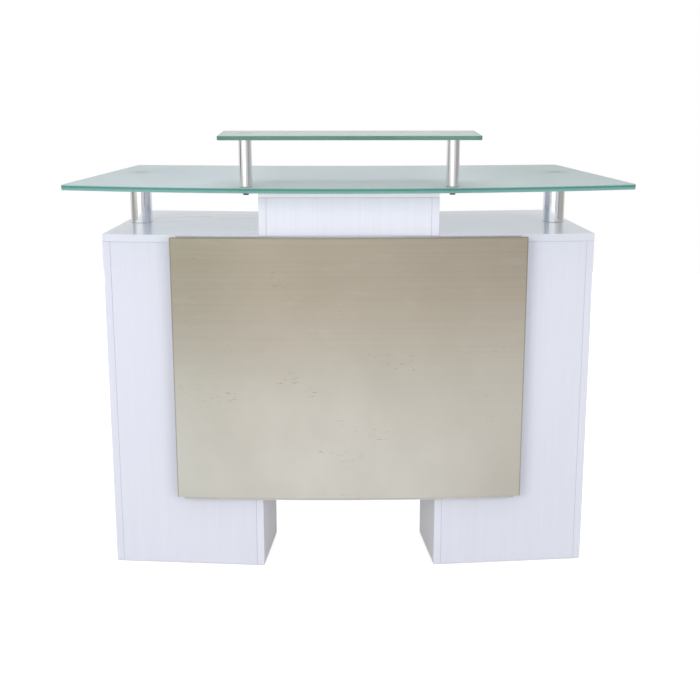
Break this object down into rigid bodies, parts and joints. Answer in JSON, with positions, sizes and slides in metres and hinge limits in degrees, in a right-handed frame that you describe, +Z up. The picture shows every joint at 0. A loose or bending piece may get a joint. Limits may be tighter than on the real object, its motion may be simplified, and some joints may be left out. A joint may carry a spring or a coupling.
{
  "type": "manicure table",
  "caption": "Free-standing manicure table: frosted glass top on posts over a white two-cabinet base with a drawer box, raised glass shelf and curved steel front.",
  "frame": {"origin": "on the floor, under the centre of the whole outline", "axes": "+X along the width, to the technician's left; +Y towards the technician, the client sits at -Y; +Z up"},
  "size_m": [1.105, 0.5304, 0.9],
  "materials": {
    "white_melamine": "white melamine-faced board with a fine vertical grain, satin",
    "panel_core": "bare curved board with a pale edge",
    "hardboard": "white-faced hardboard",
    "dowel_wood": "plain beech",
    "frosted_glass": "tempered, white-green frosted face, polished green edge",
    "post_aluminium": "satin anodised",
    "disc_steel": "turned",
    "panel_steel": "fine brushed stainless with a warm cast",
    "zinc_steel": "bright zinc plate",
    "black_bolt": "black oxide",
    "clear_bumper": "clear soft plastic",
    "nylon": "moulded nylon",
    "handle_aluminium": "satin"
  },
  "bodies": {
    "root": {"box_front": "white_melamine", "box_top": "white_melamine", "carcass_dowels": "dowel_wood", "carcass_top": "white_melamine", "centre_rail": "white_melamine", "door_catches": "nylon", "floor_glides": "nylon", "glass_bumpers": "clear_bumper", "glass_post_pads": "disc_steel", "glass_post_screws": "zinc_steel", "glass_shelf": "frosted_glass", "glass_top": "frosted_glass", "hinge_frame_leaves": "zinc_steel", "hinge_pins": "zinc_steel", "left_bottom": "white_melamine", "left_box_side": "white_melamine", "left_cleat": "white_melamine", "left_front": "white_melamine", "left_glass_post": "post_aluminium", "left_inner_side": "white_melamine", "left_outer_side": "white_melamine", "left_plinth": "white_melamine", "left_shelf": "white_melamine", "left_shelf_post": "post_aluminium", "panel_backing": "panel_core", "panel_screws": "zinc_steel", "panel_sheet": "panel_steel", "right_bottom": "white_melamine", "right_box_side": "white_melamine", "right_cleat": "white_melamine", "right_front": "white_melamine", "right_glass_post": "post_aluminium", "right_inner_side": "white_melamine", "right_outer_side": "white_melamine", "right_plinth": "white_melamine", "right_shelf": "white_melamine", "right_shelf_post": "post_aluminium", "runner_outer_members": "zinc_steel", "shelf_pins": "zinc_steel", "shelf_post_bolts": "black_bolt", "shelf_post_pads": "disc_steel", "shelf_post_washers": "nylon"},
    "drawer": {"drawer_front": "white_melamine", "drawer_back": "white_melamine", "left_drawer_side": "white_melamine", "right_drawer_side": "white_melamine", "drawer_bottom": "hardboard", "drawer_handle": "handle_aluminium", "drawer_handle_screws": "zinc_steel", "runner_inner_members": "zinc_steel"},
    "runner_middle": {"runner_middle_members": "zinc_steel"},
    "left_door": {"left_door": "white_melamine", "left_door_leaves": "zinc_steel", "left_knob": "handle_aluminium", "left_striker": "zinc_steel"},
    "right_door": {"right_door": "white_melamine", "right_door_leaves": "zinc_steel", "right_knob": "handle_aluminium", "right_striker": "zinc_steel"}
  },
  "joints": [
    {"name": "drawer_slide", "type": "slide", "parent": "root", "child": "drawer", "axis": [0, 1, 0], "range_m": [0, 0.25]},
    {"name": "runner_middle_slide", "type": "slide", "parent": "root", "child": "runner_middle", "axis": [0, 1, 0], "range_m": [0, 0.125]},
    {"name": "left_door_hinge", "type": "hinge", "parent": "root", "child": "left_door", "pos_m": [-0.4559, 0.0845, 0.36], "axis": [0, 0, 1], "range_deg": [0, 110]},
    {"name": "right_door_hinge", "type": "hinge", "parent": "root", "child": "right_door", "pos_m": [0.4559, 0.0845, 0.36], "axis": [0, 0, -1], "range_deg": [0, 110]}
  ],
  "couplings": [
    {"joint": "runner_middle_slide", "follows": "drawer_slide", "ratio": 0.5}
  ]
}
